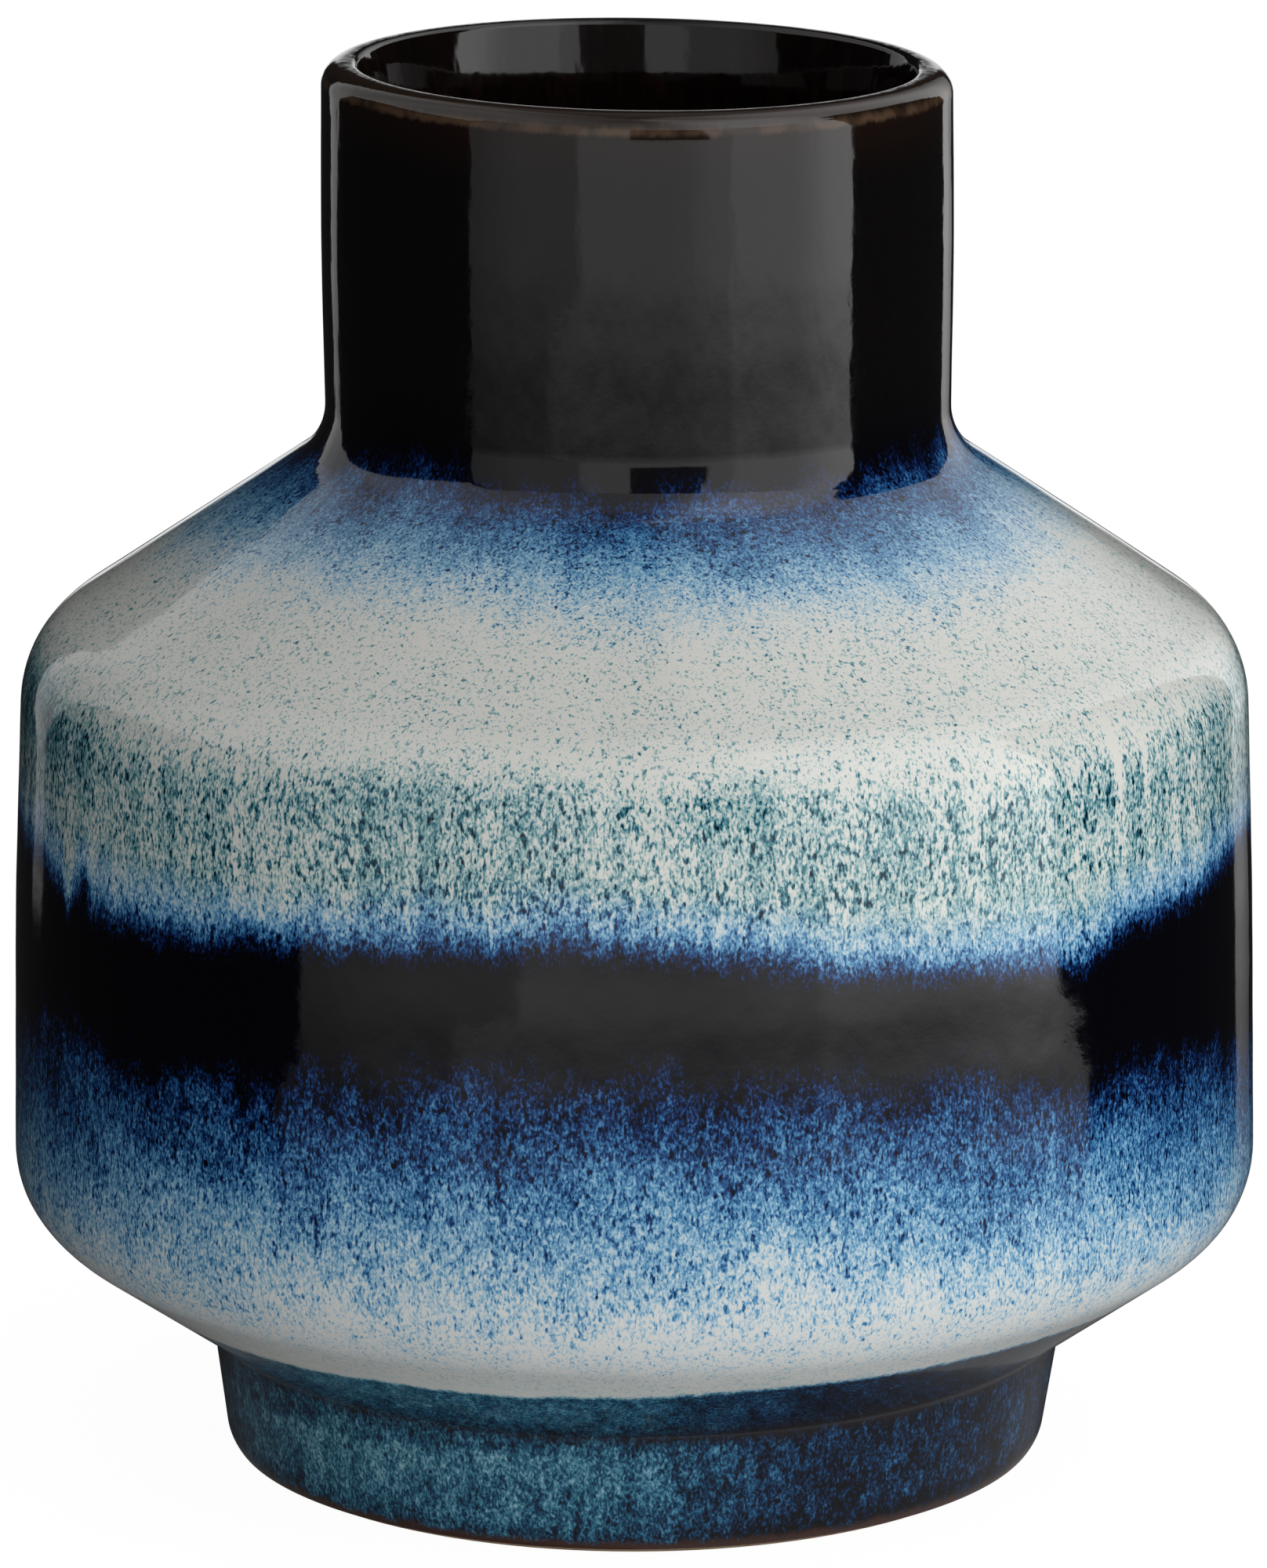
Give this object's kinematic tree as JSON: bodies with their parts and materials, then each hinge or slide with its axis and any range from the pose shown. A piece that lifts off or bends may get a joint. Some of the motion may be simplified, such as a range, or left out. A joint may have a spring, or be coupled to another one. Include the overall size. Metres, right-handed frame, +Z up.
{
  "type": "stoneware vase",
  "caption": "Wide stoneware vase with a foot ring, drum body, conical shoulder and straight open neck, in a pale blue and dark banded glaze.",
  "frame": {"origin": "on the vase's axis, in the plane of the table that the foot stands on", "axes": "+Z up along the axis through the mouth; -Y is the side with the glaze drips left and right of it, which faces the viewer"},
  "size_m": [0.222, 0.222, 0.251],
  "materials": {
    "bare_clay": "bare fired stoneware, matte and slightly sandy",
    "clay_body": "fired stoneware under glaze, matte",
    "outer_glaze": "gloss glaze in flowing bands of near black, cobalt, pale blue and ivory",
    "liner_glaze": "gloss dark brown-black liner glaze"
  },
  "bodies": {
    "root": {"foot_ring": "bare_clay", "base_disc": "bare_clay", "lower_bowl": "clay_body", "body_wall": "clay_body", "shoulder": "clay_body", "neck": "clay_body", "lip": "clay_body", "outer_glaze": "outer_glaze", "liner_glaze": "liner_glaze"}
  },
  "joints": []
}
